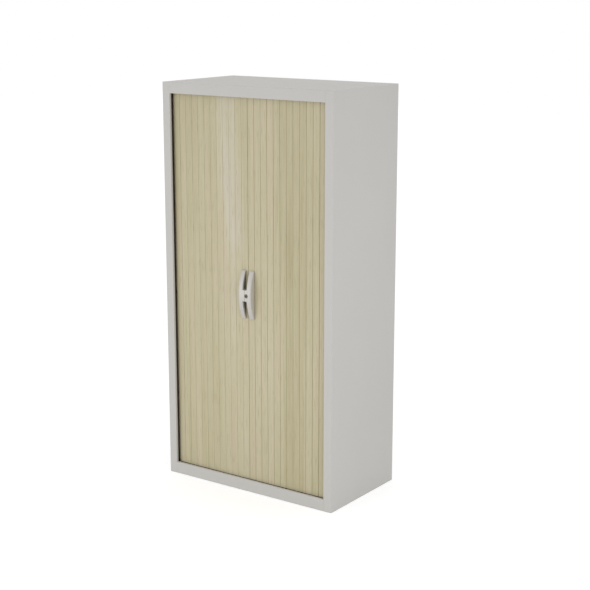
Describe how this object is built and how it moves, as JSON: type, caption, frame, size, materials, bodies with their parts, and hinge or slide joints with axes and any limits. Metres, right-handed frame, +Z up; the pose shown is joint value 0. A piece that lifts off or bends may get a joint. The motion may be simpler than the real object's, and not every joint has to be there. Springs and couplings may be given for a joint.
{
  "type": "tambour door cabinet",
  "caption": "Tall free-standing steel cupboard whose two curtains of upright slats part in the middle and slide round the front corners into the sides.",
  "frame": {"origin": "on the floor, under the middle of the whole part with its pulls", "axes": "+Z up, the curtains face -Y, +X to the right seen from the front"},
  "size_m": [0.8, 0.4546, 1.595],
  "materials": {
    "carcass_paint": "fine powder coat, pale warm grey",
    "slat_decor": "pale ash wood decor with fine upright grain",
    "pull_silver": "satin silver lacquer",
    "track_plastic": "dark moulded plastic",
    "lock_metal": "plated"
  },
  "bodies": {
    "carcass": {"left_side_panel": "carcass_paint", "left_liner": "carcass_paint", "left_front_upright": "carcass_paint", "left_rear_upright": "carcass_paint", "left_bottom_track": "track_plastic", "left_top_track": "track_plastic", "right_side_panel": "carcass_paint", "right_liner": "carcass_paint", "right_front_upright": "carcass_paint", "right_rear_upright": "carcass_paint", "right_bottom_track": "track_plastic", "right_top_track": "track_plastic", "top_panel": "carcass_paint", "bottom_rail": "carcass_paint", "base_pan": "carcass_paint", "head_pan": "carcass_paint", "back_panel": "carcass_paint", "bottom_shelf": "carcass_paint", "shelf_1": "carcass_paint", "shelf_2": "carcass_paint", "shelf_3": "carcass_paint"},
    "left_leaf": {"left_lead_slat": "slat_decor", "left_pull": "pull_silver", "keeper_pin": "lock_metal", "left_slat_02": "slat_decor", "left_slat_03": "slat_decor", "left_slat_04": "slat_decor", "left_slat_05": "slat_decor", "left_slat_06": "slat_decor", "left_slat_07": "slat_decor", "left_slat_08": "slat_decor", "left_slat_09": "slat_decor", "left_slat_10": "slat_decor", "left_slat_11": "slat_decor", "left_slat_12": "slat_decor", "left_slat_13": "slat_decor", "left_slat_14": "slat_decor"},
    "right_leaf": {"right_lead_slat": "slat_decor", "right_pull": "pull_silver", "right_slat_02": "slat_decor", "right_slat_03": "slat_decor", "right_slat_04": "slat_decor", "right_slat_05": "slat_decor", "right_slat_06": "slat_decor", "right_slat_07": "slat_decor", "right_slat_08": "slat_decor", "right_slat_09": "slat_decor", "right_slat_10": "slat_decor", "right_slat_11": "slat_decor", "right_slat_12": "slat_decor", "right_slat_13": "slat_decor", "right_slat_14": "slat_decor"},
    "lock": {"lock_barrel": "lock_metal", "lock_hook": "lock_metal"}
  },
  "joints": [
    {"name": "left_leaf_slide", "type": "slide", "parent": "carcass", "child": "left_leaf", "axis": [-1, 0, 0], "range_m": [0, 0.316], "deforming": ["left_slat_02", "left_slat_03", "left_slat_04", "left_slat_05", "left_slat_06", "left_slat_07", "left_slat_08", "left_slat_09", "left_slat_10", "left_slat_11", "left_slat_12", "left_slat_13", "left_slat_14"]},
    {"name": "right_leaf_slide", "type": "slide", "parent": "carcass", "child": "right_leaf", "axis": [1, 0, 0], "range_m": [0, 0.316], "deforming": ["right_slat_02", "right_slat_03", "right_slat_04", "right_slat_05", "right_slat_06", "right_slat_07", "right_slat_08", "right_slat_09", "right_slat_10", "right_slat_11", "right_slat_12", "right_slat_13", "right_slat_14"]},
    {"name": "lock_turn", "type": "hinge", "parent": "right_leaf", "child": "lock", "pos_m": [0.009, -0.2197, 0.7975], "axis": [0, 1, 0], "range_deg": [0, 90]}
  ]
}
